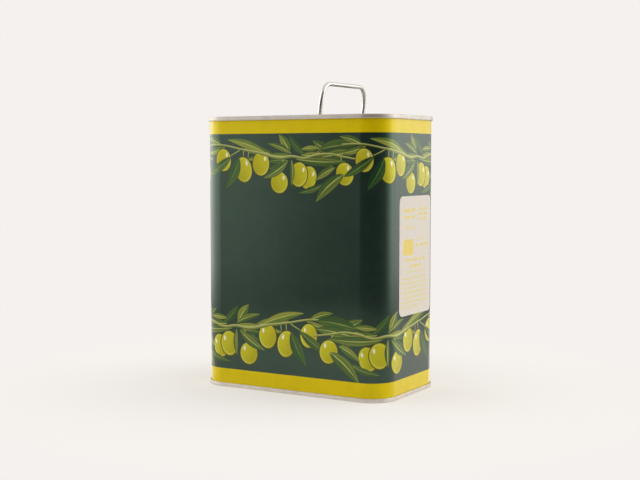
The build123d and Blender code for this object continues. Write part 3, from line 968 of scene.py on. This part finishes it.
grey_rubber = rubbery("grey_sheet_rubber", "#5A5A57", "#6A6A66", 2 * MM, 0.7)
smoothed("rubber_gasket", "collar_gasket", "tin", grey_rubber, 30)


# The label is coated paper 0.1 mm thick with round corners, stuck on the right side and bent over the
# rear corner. Plain yellow blocks stand for its words.

label_width = 54.4 * MM
label_height = 90.8 * MM
label_middle_height = 107.4 * MM
label_shift = 4.9 * MM
label_corner = 5.0 * MM
label_thickness = 0.1 * MM
PAPER, MARK, GLUED = range(3)


def paper_colour(tree):
    """Coated white paper with faint fibres."""
    fibres = speckled(tree, 1.2 * MM, 6.0)
    return mixed(tree, eased(tree, fibres, 0.35, 0.7), "#DFD7CB", "#D7CFC3")


def mark_colour(tree):
    """Yellow ink on the paper, thin in the small lines and full in the block."""
    strength = motif_place(tree)[0]
    worn = eased(tree, speckled(tree, 2 * MM, 3.0), 0.35, 0.7, 0.0, 0.25)
    ink = mixed(tree, strength, "#DCD298", "#E8CC4A")
    return mixed(tree, worn, ink, "#DFD7CB")


def paper(name, colour):
    """Coated paper: half matt, with a fine tooth."""
    material, tree, output = new_material(name)
    tooth = speckled(tree, 0.4 * MM, 4.0)
    bump = bumped(tree, tooth, 0.004 * MM)
    principled(tree, output, {"Base Color": colour(tree), "Roughness": 0.45, "Normal": bump})
    return material


def rounded(left, foot, width, height, radius, slot, strength=0.0):
    """A rounded rectangle on the sheet."""
    outline = []
    for corner, (right, upper) in enumerate(((1, 0), (1, 1), (0, 1), (0, 0))):
        centre_x = left + radius + right * (width - 2 * radius)
        centre_y = foot + radius + upper * (height - 2 * radius)
        for step in range(7):
            turn = math.radians(-90 + 90 * corner + 15 * step)
            outline.append((centre_x + radius * math.cos(turn), centre_y + radius * math.sin(turn)))
    return outline, [], slot, lambda spot: (strength, 0.0, 0.0)


label_middle = right_middle + label_shift
label_left = label_middle - label_width / 2
label_foot = label_middle_height - label_height / 2
marks = [
    rounded(label_left, label_foot, label_width, label_height, label_corner, PAPER),
    rounded(label_left + 6.5 * MM, label_foot + 45.6 * MM, 17.0 * MM, 12.4 * MM, 3.0 * MM, MARK, 1.0),
]
# Each line of words: its start and foot on the label, its length, its letters' height, in mm, and its strength
lines = [
    (7.0, 78.4, 19.0, 3.0, 0.6), (7.0, 73.6, 19.0, 2.4, 0.5), (9.0, 66.0, 18.0, 1.7, 0.2),
    (33.0, 79.4, 14.0, 2.2, 0.4), (31.5, 75.6, 17.0, 2.2, 0.5), (34.0, 71.8, 11.0, 2.2, 0.4),
    (27.5, 51.8, 21.0, 2.4, 0.5), (31.0, 56.6, 12.0, 1.7, 0.1), (10.0, 41.0, 33.0, 2.4, 0.4),
    (17.0, 36.0, 20.0, 2.6, 0.6), (11.0, 32.4, 30.0, 1.6, 0.1), (5.0, 27.4, 42.0, 1.5, 0.2),
    (4.0, 23.8, 44.0, 1.5, 0.3), (5.0, 20.2, 41.0, 1.5, 0.2), (4.0, 16.6, 44.0, 1.5, 0.3),
    (4.0, 13.0, 43.0, 1.5, 0.2), (4.0, 9.4, 44.0, 1.5, 0.3), (5.0, 5.8, 27.0, 1.5, 0.2),
]
chance = random.Random(5)
for start, foot, length, letter, strength in lines:
    at = start
    while at < start + length - letter:
        word = min(letter * chance.uniform(1.3, 4.5), start + length - at)
        left, below = label_left + at * MM, label_foot + foot * MM
        marks.append(rounded(left, below, word * MM, letter * MM, 0.3 * letter * MM, MARK, strength))
        at += word + 0.6 * letter
label_columns = [label_middle + label_width * (i / 24 - 0.5) for i in range(1, 24)]
label_rows = [label_foot + label_height * i / 10 for i in range(1, 10)]
label_inks = {
    PAPER: paper("coated_paper", paper_colour),
    MARK: paper("yellow_ink_on_paper", mark_colour),
    GLUED: paper("glued_paper_back", paper_colour),
}
flat_label = cut_sheet(marks, label_columns, label_rows)
label_mesh = bent_round("paper_label", flat_label, label_thickness, label_inks, GLUED, label_thickness)
with_true_normals(label_mesh, GLUED)
piece("stuck_label", label_mesh, "tin", "side_label")


# The studio: the tin stands on a white table in a light tent. The tent is bright above and at both
# sides, and open towards the camera, where the dark room shows as the deep reflection in the front.

floor_radius = 0.56
floor_steps = 96
backdrop = "#F5F1EE"
fade_start, fade_end = 0.14, 0.34
mirror_start, mirror_end = 0.2, 0.62
glow_level = 0.46
floor_mesh = bpy.data.meshes.new("table")
turns = [2 * math.pi * i / floor_steps for i in range(floor_steps)]
rim = [(floor_radius * math.cos(turn), floor_radius * math.sin(turn), 0.0) for turn in turns]
floor_mesh.from_pydata(rim, [], [list(range(floor_steps))])
floor = in_scene("table", floor_mesh)
floor_material, floor_tree, floor_output = new_material("white_table")
floor_mesh.materials.append(floor_material)
floor_spot = add(floor_tree, "ShaderNodeTexCoord").outputs["Object"]
floor_distance = add(floor_tree, "ShaderNodeVectorMath", {0: floor_spot}, operation="LENGTH").outputs["Value"]
fade = eased(floor_tree, floor_distance, fade_start, fade_end)
path = add(floor_tree, "ShaderNodeLightPath").outputs
seen = path["Is Camera Ray"]
# The gloss of the tin shows the white table too, up to where the room in front grows dark
near = eased(floor_tree, floor_distance, mirror_start, mirror_end, 1.0, 0.0)
mirrored = times(floor_tree, path["Is Glossy Ray"], near)
# Painted reflection: near the tin, where the tin's gloss sees the table, the table is painted lighter and given
# its glow. Bounced light and the camera see a darker table colour, and the camera sees an even glow over it.
table_colour_painted_lighter_in_gloss = mixed(floor_tree, mirrored, "#B4B2AF", "#EFEBE6")
table_shader = out(floor_tree, "ShaderNodeBsdfDiffuse", {"Color": table_colour_painted_lighter_in_gloss})
glow = times(floor_tree, maths(floor_tree, "MAXIMUM", seen, mirrored), glow_level)
table_glow = out(floor_tree, "ShaderNodeEmission", {"Color": linear(backdrop), "Strength": glow})
table_shader = out(floor_tree, "ShaderNodeAddShader", {0: table_shader, 1: table_glow})
tent_shader = out(floor_tree, "ShaderNodeEmission", {"Color": linear(backdrop), "Strength": 1.0})
floor_mix = add(floor_tree, "ShaderNodeMixShader",
                {0: times(floor_tree, fade, seen), 1: table_shader, 2: tent_shader})
floor_tree.links.new(floor_mix.outputs[0], floor_output.inputs[0])

world = bpy.data.worlds.new("light_tent")
bpy.context.scene.world = world
world.use_nodes = True
sky = world.node_tree
sky.nodes.clear()
ray = axes(sky, add(sky, "ShaderNodeTexCoord").outputs["Generated"])
bearing = maths(sky, "ARCTAN2", ray[0], times(sky, ray[1], -1.0))
turn_share = maths(sky, "MULTIPLY_ADD", bearing, 0.5 / math.pi, 0.5)
# How bright the tent is near the horizon, by bearing in degrees from the front towards the right
tent_walls = [
    (-180, 0.5), (-136, 0.5), (-125, 0.95), (-110, 2.0), (-85, 2.9), (-50, 2.5), (-38, 1.85), (-34.5, 1.25),
    (-32, 0.8), (-29, 0.3), (-20, 0.05), (55, 0.05), (84, 0.28), (96, 1.0), (107, 2.0), (118, 3.0),
    (127, 3.3), (138, 2.3), (153, 1.75), (180, 0.5),
]
brightest = 4.0
ramp = add(sky, "ShaderNodeValToRGB", {0: turn_share})
while len(ramp.color_ramp.elements) < len(tent_walls):
    ramp.color_ramp.elements.new(0.5)
for element, (degrees, level) in zip(ramp.color_ramp.elements, tent_walls):
    element.position = degrees / 360 + 0.5
    element.color = (level / brightest,) * 3 + (1.0,)
foot_of_walls = eased(sky, ray[2], -0.13, -0.085, 0.35, 0.9)
head_of_walls = eased(sky, ray[2], -0.075, 0.04, 0.0, 0.3)
brightness = times(sky, maths(sky, "ADD", foot_of_walls, head_of_walls), brightest)
walls = times(sky, ramp.outputs[0], brightness)
roof_level = 1.1
climb = eased(sky, ray[2], 0.3, 0.65)
roof = times(sky, climb, maths(sky, "MULTIPLY_ADD", ray[0], 0.45 * roof_level, roof_level))
level = maths(sky, "ADD", roof, times(sky, walls, less(sky, 1.0, climb)))
tent_light = out(sky, "ShaderNodeBackground", {"Color": linear("#FFFDFA"), "Strength": level})
tent_seen = out(sky, "ShaderNodeBackground", {"Color": linear(backdrop), "Strength": 1.0})
camera_ray = add(sky, "ShaderNodeLightPath").outputs["Is Camera Ray"]
both = out(sky, "ShaderNodeMixShader", {0: camera_ray, 1: tent_light, 2: tent_seen})
add(sky, "ShaderNodeOutputWorld", {0: both})

camera = in_scene("camera", bpy.data.cameras.new("camera"))
camera.location = (0.47262, -0.79769, 0.18132)
camera.rotation_mode = "QUATERNION"
camera.rotation_quaternion = Vector((-0.50823, 0.85836, -0.07012)).to_track_quat("-Z", "Y")
camera.data.sensor_width = 36.0
camera.data.lens = 65.31
camera.data.clip_start = 0.01
camera.data.clip_end = 20.0
bpy.context.scene.camera = camera
bpy.context.scene.view_settings.view_transform = "Standard"
